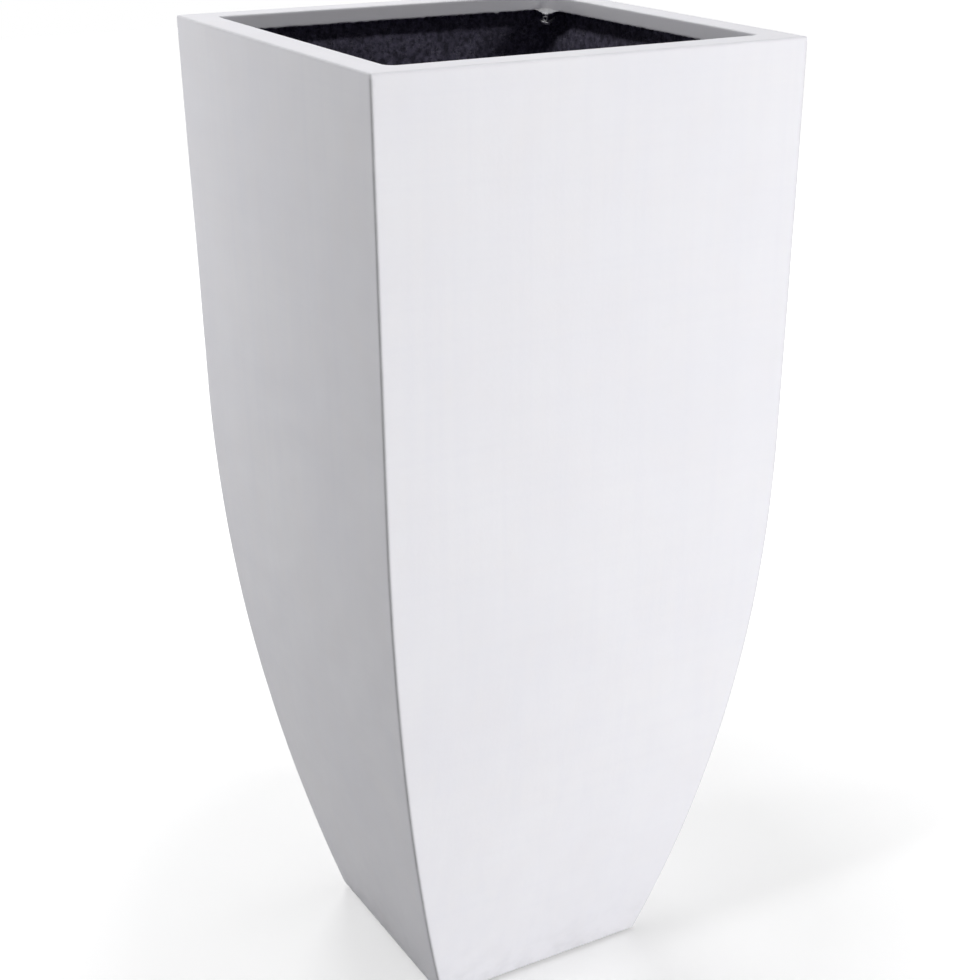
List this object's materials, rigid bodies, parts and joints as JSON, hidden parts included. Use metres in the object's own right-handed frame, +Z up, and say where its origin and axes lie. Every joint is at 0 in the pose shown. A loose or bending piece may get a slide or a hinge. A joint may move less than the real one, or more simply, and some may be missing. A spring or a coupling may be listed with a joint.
{
  "type": "floor vase",
  "caption": "Tall square white floor vase with walls that taper and curve in to a narrow foot, a flat rim, a rough black inside and a drain plug.",
  "frame": {"origin": "on the floor, under the middle of the vase, at the undersides of the pads", "axes": "+Z up through the mouth, the front wall faces -Y, the left wall faces -X"},
  "size_m": [0.4, 0.4, 0.904],
  "materials": {
    "white_paint": "satin white paint on fibreglass, slightly uneven",
    "black_coat": "rough brushed blue-black coat on fibreglass",
    "resin": "hard glossy resin run, half covered in paint and black coat",
    "bush_plastic": "moulded mid-grey plastic",
    "plug_rubber": "matt light grey rubber",
    "pad_rubber": "matt dark grey rubber"
  },
  "bodies": {
    "vase": {"outer_shell": "white_paint", "rim_frame": "white_paint", "inner_coat": "black_coat", "resin_bead": "resin", "drain_bush": "bush_plastic", "foot_front_left": "pad_rubber", "foot_front_right": "pad_rubber", "foot_back_left": "pad_rubber", "foot_back_right": "pad_rubber"},
    "plug": {"drain_plug": "plug_rubber"}
  },
  "joints": [
    {"name": "plug_lift", "type": "slide", "parent": "vase", "child": "plug", "axis": [0, 0, 1], "range_m": [0, 0.06]}
  ]
}
